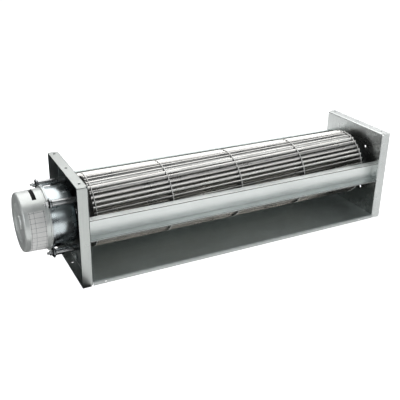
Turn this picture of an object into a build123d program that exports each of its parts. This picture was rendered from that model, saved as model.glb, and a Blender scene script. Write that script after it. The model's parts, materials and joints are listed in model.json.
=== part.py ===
from build123d import *
import math
import os

os.makedirs("parts", exist_ok=True)

# ---------------------------------------------------------------------------
# Cross flow fan.  Millimetres.  +X runs along the fan from the motor end to
# the bearing end, -Y is the outlet (front) side, +Z is up.  The origin is the
# bottom centre of the whole fan.
# ---------------------------------------------------------------------------

# --- driving dimensions ------------------------------------------------------
HEIGHT = 166.0            # end plate height
DEPTH = 157.5             # end plate depth, front to rear
FLANGE = 17.0             # end plate flange width
SHEET = 1.2               # galvanised sheet thickness
DUCT = 546.0              # clear length between the two end plate webs
MOTOR_REACH = 88.5        # motor end face to the motor side web
BEND_OUT = 2.4            # outside bend radius of the sheet
BEND_IN = BEND_OUT - SHEET

IMP_R = 60.0              # impeller outer radius
IMP_BORE_R = 46.2         # inner radius of the support rings
RING_T = 1.4              # support ring thickness
END_T = 1.2               # end disc thickness
SECTION = 126.75          # pitch of the impeller sections
FIRST_RING = 19.0         # first end disc from the motor side web
BLADE_OVER = 4.0          # blade tips past each end disc
BLADES = 43               # blades round the impeller
BLADE_T = 0.6             # blade strip thickness
BLADE_R_OUT = 59.3        # blade outer edge radius
BLADE_R_IN = 47.2         # blade inner edge radius
BLADE_ANGLE = 27.0        # outer blade angle to the tangent
SKEW = 0.0288             # blade lead, degrees per millimetre of length
PHASE = 2.3               # blade phase at the motor side web, degrees

PAT = 40.5                # half pitch of the four motor / bearing bolt holes
SHAFT_R = 4.0             # motor shaft and stub shaft radius
WEB_HOLE_R = 19.0         # centre hole in each web

# --- derived positions -------------------------------------------------------
X_WL = -(DUCT + FLANGE - MOTOR_REACH) / 2      # inner face, motor side web
X_WR = X_WL + DUCT                             # inner face, bearing side web
Y_F = -DEPTH / 2
Y_R = DEPTH / 2
Y_A = Y_F + 81.3                               # shaft axis
Z_A = 89.9
X_RINGS = [X_WL + FIRST_RING + i * SECTION for i in range(5)]

FLOOR_Z = 7.0             # top face of the duct floor
SCROLL_TOP = 129.0        # top of the rear wall
SCROLL_BACK = 4.0         # rear wall outer face, forward of the plates' rear edge


def plate_holes():
    """Flange hole rows: symmetric about the shaft axis."""
    return [Y_A - 66.5, Y_A, Y_A + 66.5]


LUG_W = 9.0               # width of the fixing lugs on channel and scroll
SLOT_CL = 0.2             # clearance round a lug in its slot
CH_WEB_REAR = Y_F + 18.6  # rear face of the channel web
CH_Z0 = 74.6
CH_Z1 = 108.6
CH_TOP_LIP = 14.6         # top flange width, forward of the web's rear face
CH_BOT_LIP = 17.8         # bottom flange width

# lug centres as (y, z, along) where along is the direction of the lug's width
CH_LUGS = [(CH_WEB_REAR - SHEET / 2, CH_Z0 + 9.0, "z"),
           (CH_WEB_REAR - SHEET / 2, CH_Z1 - 9.0, "z")]
SC_LUGS = [(Y_F + 34.0, FLOOR_Z - SHEET / 2, "y"),
           (Y_F + 84.0, FLOOR_Z - SHEET / 2, "y"),
           (Y_R - SCROLL_BACK - SHEET / 2, 80.0, "z"),
           (Y_R - SCROLL_BACK - SHEET / 2, 110.0, "z")]


# ---------------------------------------------------------------------------
# End plates: one folded sheet each, four flanges turned outwards
# ---------------------------------------------------------------------------
def cut_plate_features(x_in, s):
    """Corner reliefs, seams and holes; s is +1 when the flanges point to +X."""
    # seams between the flanges, open to the relief hole in each web corner
    with BuildSketch(Plane.YZ.offset(x_in + s * (BEND_OUT - 0.4))) as seams:
        for z_edge, dz in ((HEIGHT, -1), (0.0, 1)):
            for y_edge, dy in ((Y_F, 1), (Y_R, -1)):
                with Locations((y_edge + dy * 2.0, z_edge + dz * (SHEET + 0.35))):
                    Rectangle(8.0, 0.7)
    extrude(seams.sketch, amount=s * FLANGE, mode=Mode.SUBTRACT)
    with BuildSketch(Plane.YZ.offset(x_in - s * 1.0)) as reliefs:
        for z_edge, dz in ((HEIGHT, -1), (0.0, 1)):
            for y_edge, dy in ((Y_F, 1), (Y_R, -1)):
                with Locations((y_edge + dy * 0.9, z_edge + dz * 0.9)):
                    Circle(1.9)
    extrude(reliefs.sketch, amount=s * 4.2, mode=Mode.SUBTRACT)
    # three round holes on the centre line of the top and bottom flanges
    with BuildSketch(Plane.XY.offset(-1.0)) as flange_holes:
        with Locations(*[(x_in + s * (FLANGE / 2 + 0.3), y) for y in plate_holes()]):
            Circle(2.25)
    extrude(flange_holes.sketch, amount=HEIGHT + 2.0, mode=Mode.SUBTRACT)
    # web: centre hole, the four holes shared by motor and bearing, lug slots
    with BuildSketch(Plane.YZ.offset(x_in - s * 1.0)) as web_holes:
        with Locations((Y_A, Z_A)):
            Circle(WEB_HOLE_R)
        with Locations(*[(Y_A + i * PAT, Z_A + j * PAT) for i in (-1, 1) for j in (-1, 1)]):
            Circle(2.3)
        for (y, z, along) in CH_LUGS + SC_LUGS:
            with Locations((y, z)):
                if along == "z":
                    Rectangle(SHEET + 2 * SLOT_CL, LUG_W + 2 * SLOT_CL)
                else:
                    Rectangle(LUG_W + 2 * SLOT_CL, SHEET + 2 * SLOT_CL)
    extrude(web_holes.sketch, amount=s * (SHEET + 2.0), mode=Mode.SUBTRACT)


with BuildPart() as end_plate_motor:
    with BuildSketch(Plane.YZ.offset(X_WL)):
        with Locations((0, HEIGHT / 2)):
            Rectangle(DEPTH, HEIGHT)
    extrude(amount=-FLANGE)
    fillet(end_plate_motor.faces().sort_by(Axis.X)[-1].edges(), BEND_OUT)
    with BuildPart(mode=Mode.PRIVATE) as tray_inside_motor:
        with BuildSketch(Plane.YZ.offset(X_WL - SHEET)):
            with Locations((0, HEIGHT / 2)):
                Rectangle(DEPTH - 2 * SHEET, HEIGHT - 2 * SHEET)
        extrude(amount=-FLANGE)
        fillet(tray_inside_motor.faces().sort_by(Axis.X)[-1].edges(), BEND_IN)
    add(tray_inside_motor.part, mode=Mode.SUBTRACT)
    cut_plate_features(X_WL, -1)

end_plate_motor.part.label = "end_plate_motor"
export_step(end_plate_motor.part, "parts/end_plate_motor.step")

with BuildPart() as end_plate_bearing:
    with BuildSketch(Plane.YZ.offset(X_WR)):
        with Locations((0, HEIGHT / 2)):
            Rectangle(DEPTH, HEIGHT)
    extrude(amount=FLANGE)
    fillet(end_plate_bearing.faces().sort_by(Axis.X)[0].edges(), BEND_OUT)
    with BuildPart(mode=Mode.PRIVATE) as tray_inside_bearing:
        with BuildSketch(Plane.YZ.offset(X_WR + SHEET)):
            with Locations((0, HEIGHT / 2)):
                Rectangle(DEPTH - 2 * SHEET, HEIGHT - 2 * SHEET)
        extrude(amount=FLANGE)
        fillet(tray_inside_bearing.faces().sort_by(Axis.X)[0].edges(), BEND_IN)
    add(tray_inside_bearing.part, mode=Mode.SUBTRACT)
    cut_plate_features(X_WR, 1)

end_plate_bearing.part.label = "end_plate_bearing"
export_step(end_plate_bearing.part, "parts/end_plate_bearing.step")

# ---------------------------------------------------------------------------
# Scroll sheet: front lip, flat floor, rolled rear corner, rear wall, top lip
# ---------------------------------------------------------------------------
GAP_END = 0.2
SC_R = 56.0               # inside radius of the rolled rear corner
y_wall_in = Y_R - SCROLL_BACK - SHEET
z_floor = FLOOR_Z
with BuildPart() as scroll_housing:
    with BuildSketch(Plane.YZ.offset(X_WL + GAP_END)):
        with BuildLine():
            a = Line((Y_F, z_floor - SHEET), (y_wall_in - SC_R, z_floor - SHEET))
            b = RadiusArc(a @ 1, (y_wall_in + SHEET, z_floor + SC_R), -(SC_R + SHEET))
            c = Line(b @ 1, (y_wall_in + SHEET, SCROLL_TOP))
            d = Polyline(c @ 1, (Y_F, SCROLL_TOP), a @ 0)
        make_face()
        with BuildLine():
            a2 = Line((Y_F - 1, z_floor), (y_wall_in - SC_R, z_floor))
            b2 = RadiusArc(a2 @ 1, (y_wall_in, z_floor + SC_R), -SC_R)
            c2 = Line(b2 @ 1, (y_wall_in, SCROLL_TOP + 1))
            d2 = Polyline(c2 @ 1, (Y_F - 1, SCROLL_TOP + 1), a2 @ 0)
        make_face(mode=Mode.SUBTRACT)
        # front lip turned down to the base
        with Locations((Y_F + SHEET / 2, (z_floor + 0.2) / 2)):
            Rectangle(SHEET, z_floor - 0.2)
        # top lip turned forward
        with Locations((y_wall_in + SHEET - 3.6, SCROLL_TOP - SHEET / 2)):
            Rectangle(7.2, SHEET)
    extrude(amount=DUCT - 2 * GAP_END)
    lines = scroll_housing.edges().filter_by(Axis.X)
    fillet(lines.sort_by_distance((0, Y_F, z_floor))[0], BEND_OUT)
    lines = scroll_housing.edges().filter_by(Axis.X)
    fillet(lines.sort_by_distance((0, Y_F + SHEET, z_floor - SHEET))[0], BEND_IN)
    lines = scroll_housing.edges().filter_by(Axis.X)
    fillet(lines.sort_by_distance((0, y_wall_in + SHEET, SCROLL_TOP))[0], BEND_OUT)
    lines = scroll_housing.edges().filter_by(Axis.X)
    fillet(lines.sort_by_distance((0, y_wall_in, SCROLL_TOP - SHEET))[0], BEND_IN)
    # drain and locating holes in the front lip
    with BuildSketch(Plane.XZ.offset(-Y_F + 1.0)):
        with Locations((X_WL + 20.0, 3.0), (X_WR - 30.0, 3.0)):
            Circle(1.5)
    extrude(amount=-4.0, mode=Mode.SUBTRACT)
    # lugs through the slots of both webs, clinched over on the outside
    for x0, s in ((X_WL, -1), (X_WR, 1)):
        for (y, z, along) in SC_LUGS:
            w = (LUG_W, SHEET) if along == "y" else (SHEET, LUG_W)
            with BuildSketch(Plane.YZ.offset(x0 - s * 1.0)):
                with Locations((y, z)):
                    Rectangle(*w)
            extrude(amount=s * (1.0 + SHEET + 0.3 + SHEET))
            # clinched end lies flat on the web's outer face
            with BuildSketch(Plane.YZ.offset(x0 + s * (SHEET + 0.3))):
                if along == "y":
                    with Locations((y, z + 3.0)):
                        Rectangle(LUG_W, 6.0 + SHEET)
                else:
                    with Locations((y - 3.0, z)):
                        Rectangle(6.0 + SHEET, LUG_W)
            extrude(amount=s * SHEET)

scroll_housing.part.label = "scroll_housing"
export_step(scroll_housing.part, "parts/scroll_housing.step")

# ---------------------------------------------------------------------------
# Tongue channel between the plates, open to the front
# ---------------------------------------------------------------------------
with BuildPart() as tongue_channel:
    with BuildSketch(Plane.YZ.offset(X_WL + GAP_END)):
        with Locations((CH_WEB_REAR - SHEET / 2, (CH_Z0 + CH_Z1) / 2)):
            Rectangle(SHEET, CH_Z1 - CH_Z0)
        with Locations((CH_WEB_REAR - CH_TOP_LIP / 2, CH_Z1 - SHEET / 2)):
            Rectangle(CH_TOP_LIP, SHEET)
        with Locations((CH_WEB_REAR - CH_BOT_LIP / 2, CH_Z0 + SHEET / 2)):
            Rectangle(CH_BOT_LIP, SHEET)
    extrude(amount=DUCT - 2 * GAP_END)
    for y, z, r in ((CH_WEB_REAR, CH_Z1, BEND_OUT), (CH_WEB_REAR, CH_Z0, BEND_OUT),
                    (CH_WEB_REAR - SHEET, CH_Z1 - SHEET, BEND_IN), (CH_WEB_REAR - SHEET, CH_Z0 + SHEET, BEND_IN)):
        lines = tongue_channel.edges().filter_by(Axis.X)
        fillet(lines.sort_by_distance((0, y, z))[0], r)
    for x0, s in ((X_WL, -1), (X_WR, 1)):
        for (y, z, along) in CH_LUGS:
            with BuildSketch(Plane.YZ.offset(x0 - s * 1.0)):
                with Locations((y, z)):
                    Rectangle(SHEET, LUG_W)
            extrude(amount=s * (1.0 + SHEET + 0.3 + SHEET))
            with BuildSketch(Plane.YZ.offset(x0 + s * (SHEET + 0.3))):
                with Locations((y - 3.0, z)):
                    Rectangle(6.0 + SHEET, LUG_W)
            extrude(amount=s * SHEET)

tongue_channel.part.label = "tongue_channel"
export_step(tongue_channel.part, "parts/tongue_channel.step")

# ---------------------------------------------------------------------------
# Impeller: skewed curved blades through slotted discs and rings
# ---------------------------------------------------------------------------
_b = math.radians(BLADE_ANGLE)


def blade_outline(extra=0.0, grow=0.0):
    """Corner and mid points of one blade section at angle 0, axis at (0, 0).

    The blade is a circular arc that leaves the inner circle radially and
    meets the outer circle at BLADE_ANGLE to the tangent.  Local x points to
    the front, local y up; the tip leads in the direction of rotation.
    """
    r1, r2 = BLADE_R_IN - grow, BLADE_R_OUT + grow
    R1, R2 = BLADE_R_IN, BLADE_R_OUT
    rho = (R2 * R2 - R1 * R1) / (2 * R2 * math.cos(_b))
    cx, cy = R1, rho                      # centre of the blade's arc
    half = BLADE_T / 2 + extra

    def hit(rad, circle_r):
        # angle on the blade arc of radius rad where it meets circle_r
        d = math.hypot(cx, cy)
        cosv = (d * d + rad * rad - circle_r * circle_r) / (2 * d * rad)
        base = math.atan2(-cy, -cx)
        return base + math.acos(max(-1, min(1, cosv)))

    pts = []
    for rad in (rho + half, rho - half):
        a0, a1 = hit(rad, r1), hit(rad, r2)
        row = []
        for k in (0, 0.5, 1):
            a = a0 + (a1 - a0) * k
            row.append((cx + rad * math.cos(a), cy + rad * math.sin(a)))
        pts.append(row)
    return pts


def turn(p, deg):
    """Rotate in the (front, up) frame, then map to the plane's (Y, Z)."""
    t = math.radians(deg)
    f = p[0] * math.cos(t) - p[1] * math.sin(t)
    u = p[0] * math.sin(t) + p[1] * math.cos(t)
    return (Y_A - f, Z_A + u)


def angle_at(x):
    return PHASE + SKEW * (x - X_WL)


blade_x = [X_RINGS[0] - BLADE_OVER] + X_RINGS + [X_RINGS[-1] + BLADE_OVER]
with BuildPart() as one_blade:
    for x in blade_x:
        with BuildSketch(Plane.YZ.offset(x)):
            with BuildLine():
                o, i = blade_outline()
                o = [turn(p, angle_at(x)) for p in o]
                i = [turn(p, angle_at(x)) for p in i]
                ThreePointArc(o[0], o[1], o[2])
                Line(o[2], i[2])
                ThreePointArc(i[2], i[1], i[0])
                Line(i[0], o[0])
            make_face()
    loft(ruled=True)

axis_x = Axis((0, Y_A, Z_A), (1, 0, 0))
with BuildPart() as impeller_blades:
    for k in range(BLADES):
        add(one_blade.part.rotate(axis_x, -360.0 * k / BLADES))

impeller_blades.part.label = "impeller_blades"
export_step(impeller_blades.part, "parts/impeller_blades.step")


def slot_faces(x):
    """All blade slots of a disc whose middle is at x."""
    ang = angle_at(x)
    for k in range(BLADES):
        o, i = blade_outline(extra=0.06, grow=0.06)
        o = [turn(p, ang + 360.0 * k / BLADES) for p in o]
        i = [turn(p, ang + 360.0 * k / BLADES) for p in i]
        with BuildLine() as outline:
            ThreePointArc(o[0], o[1], o[2])
            Line(o[2], i[2])
            ThreePointArc(i[2], i[1], i[0])
            Line(i[0], o[0])
        make_face(outline.line, mode=Mode.SUBTRACT)


HUB_R = 26.0
RIVET_PCD_R = 21.6
RIVET_R = 1.6

with BuildPart() as impeller_end_disc_motor:
    with BuildSketch(Plane.YZ.offset(X_RINGS[0] - END_T / 2)):
        with Locations((Y_A, Z_A)):
            Circle(IMP_R)
            Circle(9.0, mode=Mode.SUBTRACT)
            with PolarLocations(RIVET_PCD_R, 6):
                Circle(RIVET_R, mode=Mode.SUBTRACT)
        slot_faces(X_RINGS[0])
    extrude(amount=END_T)
impeller_end_disc_motor.part.label = "impeller_end_disc_motor"
export_step(impeller_end_disc_motor.part, "parts/impeller_end_disc_motor.step")

with BuildPart() as impeller_ring_1:
    with BuildSketch(Plane.YZ.offset(X_RINGS[1] - RING_T / 2)):
        with Locations((Y_A, Z_A)):
            Circle(IMP_R)
            Circle(IMP_BORE_R, mode=Mode.SUBTRACT)
        slot_faces(X_RINGS[1])
    extrude(amount=RING_T)
impeller_ring_1.part.label = "impeller_ring_1"
export_step(impeller_ring_1.part, "parts/impeller_ring_1.step")

with BuildPart() as impeller_ring_2:
    with BuildSketch(Plane.YZ.offset(X_RINGS[2] - RING_T / 2)):
        with Locations((Y_A, Z_A)):
            Circle(IMP_R)
            Circle(IMP_BORE_R, mode=Mode.SUBTRACT)
        slot_faces(X_RINGS[2])
    extrude(amount=RING_T)
impeller_ring_2.part.label = "impeller_ring_2"
export_step(impeller_ring_2.part, "parts/impeller_ring_2.step")

with BuildPart() as impeller_ring_3:
    with BuildSketch(Plane.YZ.offset(X_RINGS[3] - RING_T / 2)):
        with Locations((Y_A, Z_A)):
            Circle(IMP_R)
            Circle(IMP_BORE_R, mode=Mode.SUBTRACT)
        slot_faces(X_RINGS[3])
    extrude(amount=RING_T)
impeller_ring_3.part.label = "impeller_ring_3"
export_step(impeller_ring_3.part, "parts/impeller_ring_3.step")

with BuildPart() as impeller_end_disc_bearing:
    with BuildSketch(Plane.YZ.offset(X_RINGS[4] - END_T / 2)):
        with Locations((Y_A, Z_A)):
            Circle(IMP_R)
            Circle(9.0, mode=Mode.SUBTRACT)
            with PolarLocations(RIVET_PCD_R, 6):
                Circle(RIVET_R, mode=Mode.SUBTRACT)
        slot_faces(X_RINGS[4])
    extrude(amount=END_T)
impeller_end_disc_bearing.part.label = "impeller_end_disc_bearing"
export_step(impeller_end_disc_bearing.part, "parts/impeller_end_disc_bearing.step")


# profiles turned about the shaft axis are drawn as (x, radius)
TURN_PLANE = Plane(origin=(0, Y_A, Z_A), x_dir=(1, 0, 0), z_dir=(0, -1, 0))


def ring_profile(points):
    """Closed profile in the plane through the shaft axis, (x, radius)."""
    with BuildLine() as outline:
        Polyline(*points, close=True)
    make_face(outline.line)


XD0 = X_RINGS[0] - END_T / 2          # outer face of the motor side end disc
XD4 = X_RINGS[4] + END_T / 2          # outer face of the bearing side end disc


def rivet_spots():
    return [(RIVET_PCD_R, 60.0 * k) for k in range(6)]


# flanged hub riveted to the motor side end disc, its boss holds the damper
with BuildPart() as drive_hub:
    with BuildSketch(TURN_PLANE):
        ring_profile([(XD0, HUB_R), (XD0, 14.0), (XD0 - 11.0, 14.0), (XD0 - 11.0, 16.2),
                      (XD0 - 10.2, 17.2), (XD0 - 2.2, 17.6), (XD0 - 2.2, HUB_R)])
    revolve(axis=axis_x)
    with BuildSketch(Plane.YZ.offset(XD0 + 1)):
        with Locations((Y_A, Z_A)):
            with PolarLocations(RIVET_PCD_R, 6):
                Circle(RIVET_R)
    extrude(amount=-5.0, mode=Mode.SUBTRACT)
drive_hub.part.label = "drive_hub"
export_step(drive_hub.part, "parts/drive_hub.step")

# rubber ring bonded between the hub and the steel bush
with BuildPart() as hub_damper:
    with BuildSketch(TURN_PLANE):
        ring_profile([(XD0 - 0.6, 14.0), (XD0 - 0.6, 8.0), (XD0 - 10.6, 8.0), (XD0 - 9.6, 11.0), (XD0 - 10.6, 14.0)])
    revolve(axis=axis_x)
hub_damper.part.label = "hub_damper"
export_step(hub_damper.part, "parts/hub_damper.step")

GRUB_X = XD0 - 13.0
with BuildPart() as hub_bush:
    with BuildSketch(TURN_PLANE):
        ring_profile([(XD0 + 0.4, SHAFT_R), (XD0 + 0.4, 8.0), (XD0 - 14.6, 8.0), (XD0 - 15.2, 7.4), (XD0 - 15.2, SHAFT_R)])
    revolve(axis=axis_x)
    with BuildSketch(Plane.XY.offset(Z_A)):
        with Locations((GRUB_X, Y_A)):
            Circle(1.5)
    extrude(amount=12.0, mode=Mode.SUBTRACT)
hub_bush.part.label = "hub_bush"
export_step(hub_bush.part, "parts/hub_bush.step")

with BuildPart() as grub_screw:
    with BuildSketch(Plane.XY.offset(Z_A + SHAFT_R)):
        with Locations((GRUB_X, Y_A)):
            Circle(1.5)
    extrude(amount=3.8)
    with BuildSketch(Plane.XY.offset(Z_A + SHAFT_R + 3.8)):
        with Locations((GRUB_X, Y_A)):
            RegularPolygon(0.75, 6, major_radius=False)
    extrude(amount=-1.6, mode=Mode.SUBTRACT)
grub_screw.part.label = "grub_screw"
export_step(grub_screw.part, "parts/grub_screw.step")

# flanged hub of the bearing side end disc, with a shoulder for the bearing
with BuildPart() as stub_hub:
    with BuildSketch(TURN_PLANE):
        ring_profile([(XD4, SHAFT_R), (XD4, HUB_R), (XD4 + 2.2, HUB_R), (XD4 + 2.2, 10.0), (XD4 + 8.6, 9.4),
                      (XD4 + 9.2, 5.7), (X_WR - 2.9, 5.7), (X_WR - 2.9, SHAFT_R)])
    revolve(axis=axis_x)
    with BuildSketch(Plane.YZ.offset(XD4 - 1)):
        with Locations((Y_A, Z_A)):
            with PolarLocations(RIVET_PCD_R, 6):
                Circle(RIVET_R)
    extrude(amount=5.0, mode=Mode.SUBTRACT)
stub_hub.part.label = "stub_hub"
export_step(stub_hub.part, "parts/stub_hub.step")

BRG_X0 = X_WR - 2.9                    # bearing, 7 wide
BRG_X1 = BRG_X0 + 7.0
BRG_XM = (BRG_X0 + BRG_X1) / 2
RING_X = BRG_X1 + 0.2
with BuildPart() as stub_shaft:
    with BuildSketch(TURN_PLANE):
        ring_profile([(XD4 - 4.0, 0), (XD4 - 4.0, SHAFT_R - 0.4), (XD4 - 3.6, SHAFT_R), (RING_X, SHAFT_R),
                      (RING_X, 3.5), (RING_X + 0.9, 3.5), (RING_X + 0.9, SHAFT_R), (RING_X + 3.6, SHAFT_R),
                      (RING_X + 4.2, SHAFT_R - 0.6), (RING_X + 4.2, 0)])
    revolve(axis=axis_x)
stub_shaft.part.label = "stub_shaft"
export_step(stub_shaft.part, "parts/stub_shaft.step")

# open retaining ring in the groove of the stub shaft
with BuildPart() as retaining_ring:
    with BuildSketch(Plane.YZ.offset(RING_X + 0.05)):
        with Locations((Y_A, Z_A)):
            Circle(6.4)
            Circle(3.5, mode=Mode.SUBTRACT)
        with Locations((Y_A - 5.0, Z_A)):
            Rectangle(6.0, 4.6, mode=Mode.SUBTRACT)
    extrude(amount=0.8)
retaining_ring.part.label = "retaining_ring"
export_step(retaining_ring.part, "parts/retaining_ring.step")

# rivets through disc and hub flange, both ends of the impeller
with BuildPart() as hub_rivets:
    for x_lo, x_hi, s in ((XD0 - 2.2, XD0 + END_T, 1), (XD4 - END_T, XD4 + 2.2, 1)):
        for r, a in rivet_spots():
            yy = Y_A + r * math.cos(math.radians(a))
            zz = Z_A + r * math.sin(math.radians(a))
            with BuildSketch(Plane.YZ.offset(x_lo)):
                with Locations((yy, zz)):
                    Circle(RIVET_R)
            extrude(amount=x_hi - x_lo)
            with BuildSketch(Plane.YZ.offset(x_lo)):
                with Locations((yy, zz)):
                    Circle(2.8)
            extrude(amount=-1.0, taper=25)
            with BuildSketch(Plane.YZ.offset(x_hi)):
                with Locations((yy, zz)):
                    Circle(2.8)
            extrude(amount=1.0, taper=25)
hub_rivets.part.label = "hub_rivets"
export_step(hub_rivets.part, "parts/hub_rivets.step")

# ---------------------------------------------------------------------------
# Bearing in a rubber mount that grips the web's centre hole
# ---------------------------------------------------------------------------
with BuildPart() as bearing_mount_rubber:
    with BuildSketch(TURN_PLANE):
        ring_profile([(BRG_X0 - 1.2, 9.9), (BRG_X0 - 1.2, 21.0), (BRG_X0 - 0.4, 23.0), (X_WR, 23.0),
                      (X_WR, WEB_HOLE_R), (X_WR + SHEET, WEB_HOLE_R), (X_WR + SHEET, 23.0),
                      (BRG_X1 + 0.4, 23.0), (BRG_X1 + 1.2, 21.0), (BRG_X1 + 1.2, 9.9),
                      (BRG_X1, 9.9), (BRG_X1, 11.0), (BRG_X0, 11.0), (BRG_X0, 9.9)])
    revolve(axis=axis_x)
bearing_mount_rubber.part.label = "bearing_mount_rubber"
export_step(bearing_mount_rubber.part, "parts/bearing_mount_rubber.step")

BALL_PR = 7.6
with BuildPart() as bearing_outer_race:
    with BuildSketch(TURN_PLANE):
        ring_profile([(BRG_X0, 9.0), (BRG_X0, 11.0), (BRG_X1, 11.0), (BRG_X1, 9.0)])
        with Locations((BRG_XM, BALL_PR)):
            Circle(2.0, mode=Mode.SUBTRACT)
    revolve(axis=axis_x)
bearing_outer_race.part.label = "bearing_outer_race"
export_step(bearing_outer_race.part, "parts/bearing_outer_race.step")

with BuildPart() as bearing_inner_race:
    with BuildSketch(TURN_PLANE):
        ring_profile([(BRG_X0, SHAFT_R), (BRG_X0, 6.1), (BRG_X1, 6.1), (BRG_X1, SHAFT_R)])
        with Locations((BRG_XM, BALL_PR)):
            Circle(2.3, mode=Mode.SUBTRACT)
    revolve(axis=axis_x)
bearing_inner_race.part.label = "bearing_inner_race"
export_step(bearing_inner_race.part, "parts/bearing_inner_race.step")

with BuildPart() as bearing_balls:
    for k in range(7):
        a = math.radians(360.0 / 7 * k)
        with Locations((BRG_XM, Y_A + BALL_PR * math.cos(a), Z_A + BALL_PR * math.sin(a))):
            Sphere(1.95)
bearing_balls.part.label = "bearing_balls"
export_step(bearing_balls.part, "parts/bearing_balls.step")

with BuildPart() as bearing_shields:
    with BuildSketch(TURN_PLANE):
        ring_profile([(BRG_X0 + 0.3, 6.6), (BRG_X0 + 0.3, 9.0), (BRG_X0 + 0.6, 9.0), (BRG_X0 + 0.6, 6.6)])
        ring_profile([(BRG_X1 - 0.6, 6.6), (BRG_X1 - 0.6, 9.0), (BRG_X1 - 0.3, 9.0), (BRG_X1 - 0.3, 6.6)])
    revolve(axis=axis_x)
bearing_shields.part.label = "bearing_shields"
export_step(bearing_shields.part, "parts/bearing_shields.step")

# ---------------------------------------------------------------------------
# Motor
# ---------------------------------------------------------------------------
CAP_X0 = X_WL - MOTOR_REACH            # end face of the cap
FL_A = X_WL - 49.5                     # cap flange, mounting plate, pot flange
FL_B = X_WL - 48.0
FL_C = X_WL - 46.4
FL_D = X_WL - 44.9
FL_R = 50.8
FL_RIVET_R = 49.3
CAP_R_END = 46.4
CAP_R_FL = 47.8
POT_R = 47.2
POT_X1 = X_WL - 7.4                    # closed end of the pot
BOSS = 2.6                             # boss on the closed end
WALL = 1.3
BUSH_R = 8.0
RUN = 0.04                             # running clearance of shaft in bush


def fillet_near(part_ctx, x, r, rad):
    """Fillet the circular edge of a turned part nearest to (x, radius r)."""
    best = min((e for e in part_ctx.edges().filter_by(GeomType.CIRCLE)),
               key=lambda e: abs(e.arc_center.X - x) + abs(e.radius - r))
    fillet(best, rad)


# deep drawn aluminium end cap with a recessed end and an inner bearing seat
with BuildPart() as motor_end_cap:
    with BuildSketch(TURN_PLANE):
        ring_profile([
            (CAP_X0, 31.0), (CAP_X0, CAP_R_END), (FL_A, CAP_R_FL), (FL_A, FL_R), (FL_B, FL_R),
            (FL_B, CAP_R_FL - WALL), (CAP_X0 + WALL, CAP_R_END - WALL), (CAP_X0 + WALL, 31.4),
            (CAP_X0 + 3.4 + WALL, 28.6), (CAP_X0 + 3.4 + WALL, 12.0), (CAP_X0 + 12.5, 10.4),
            (CAP_X0 + 12.5, BUSH_R), (CAP_X0 + 2.2, BUSH_R), (CAP_X0 + 2.2, 0.0), (CAP_X0 + 0.9, 0.0),
            (CAP_X0 + 0.9, 9.6), (CAP_X0 + 3.4, 11.0), (CAP_X0 + 3.4, 28.0)])
    revolve(axis=axis_x)
    fillet_near(motor_end_cap, CAP_X0, CAP_R_END, 4.5)
    fillet_near(motor_end_cap, CAP_X0 + WALL, CAP_R_END - WALL, 3.2)
    fillet_near(motor_end_cap, CAP_X0, 31.0, 1.2)
    fillet_near(motor_end_cap, CAP_X0 + 3.4, 28.0, 1.2)
    fillet_near(motor_end_cap, CAP_X0 + 3.4, 11.0, 0.9)
    fillet_near(motor_end_cap, CAP_X0 + 0.9, 9.6, 0.9)
    fillet_near(motor_end_cap, FL_A, CAP_R_FL, 0.35)
    # opening on top of the cap for the leads
    with BuildSketch(Plane.YZ.offset(X_WL - 68.1)):
        with BuildLine():
            Polyline((Y_A, Z_A + 30.0),
                     (Y_A - 60 * math.cos(math.radians(56.0)), Z_A + 60 * math.sin(math.radians(56.0))),
                     (Y_A + 60 * math.cos(math.radians(56.0)), Z_A + 60 * math.sin(math.radians(56.0))), close=True)
        make_face()
        with Locations((Y_A, Z_A)):
            Circle(42.0, mode=Mode.SUBTRACT)
    extrude(amount=6.2, mode=Mode.SUBTRACT)
# black insert that closes the lead opening from inside
with BuildPart() as lead_outlet_insert:
    with BuildSketch(Plane.YZ.offset(X_WL - 67.9)):
        with BuildLine():
            Polyline((Y_A, Z_A + 28.0),
                     (Y_A - 60 * math.cos(math.radians(57.2)), Z_A + 60 * math.sin(math.radians(57.2))),
                     (Y_A + 60 * math.cos(math.radians(57.2)), Z_A + 60 * math.sin(math.radians(57.2))), close=True)
        make_face()
        with Locations((Y_A, Z_A)):
            Circle(46.0, mode=Mode.INTERSECT)
            Circle(43.2, mode=Mode.SUBTRACT)
    extrude(amount=5.8)
    with BuildSketch(Plane.YZ.offset(X_WL - 70.5)):
        with BuildLine():
            Polyline((Y_A, Z_A + 28.0),
                     (Y_A - 60 * math.cos(math.radians(54.6)), Z_A + 60 * math.sin(math.radians(54.6))),
                     (Y_A + 60 * math.cos(math.radians(54.6)), Z_A + 60 * math.sin(math.radians(54.6))), close=True)
        make_face()
        with Locations((Y_A, Z_A)):
            Circle(44.8, mode=Mode.INTERSECT)
            Circle(43.2, mode=Mode.SUBTRACT)
    extrude(amount=11.0)
lead_outlet_insert.part.label = "lead_outlet_insert"
export_step(lead_outlet_insert.part, "parts/lead_outlet_insert.step")


def cap_r(x):
    return CAP_R_END + (CAP_R_FL - CAP_R_END) * (x - CAP_X0) / (FL_A - CAP_X0)



# blank label wrapped round the front of the cap
LBL_X0, LBL_X1 = X_WL - 79.5, X_WL - 55.5
LBL_T = 0.3
LBL_TOP = math.radians(50.0)           # from straight up towards the front
LBL_PLANE = Plane(origin=(0, Y_A, Z_A), x_dir=(1, 0, 0), z_dir=(0, -math.cos(LBL_TOP), -math.sin(LBL_TOP)))
with BuildPart() as rating_label:
    with BuildSketch(LBL_PLANE):
        ring_profile([(LBL_X0, cap_r(LBL_X0)), (LBL_X1, cap_r(LBL_X1)),
                      (LBL_X1, cap_r(LBL_X1) + LBL_T), (LBL_X0, cap_r(LBL_X0) + LBL_T)])
    revolve(axis=axis_x, revolution_arc=95.0)
rating_label.part.label = "rating_label"
export_step(rating_label.part, "parts/rating_label.step")

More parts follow.
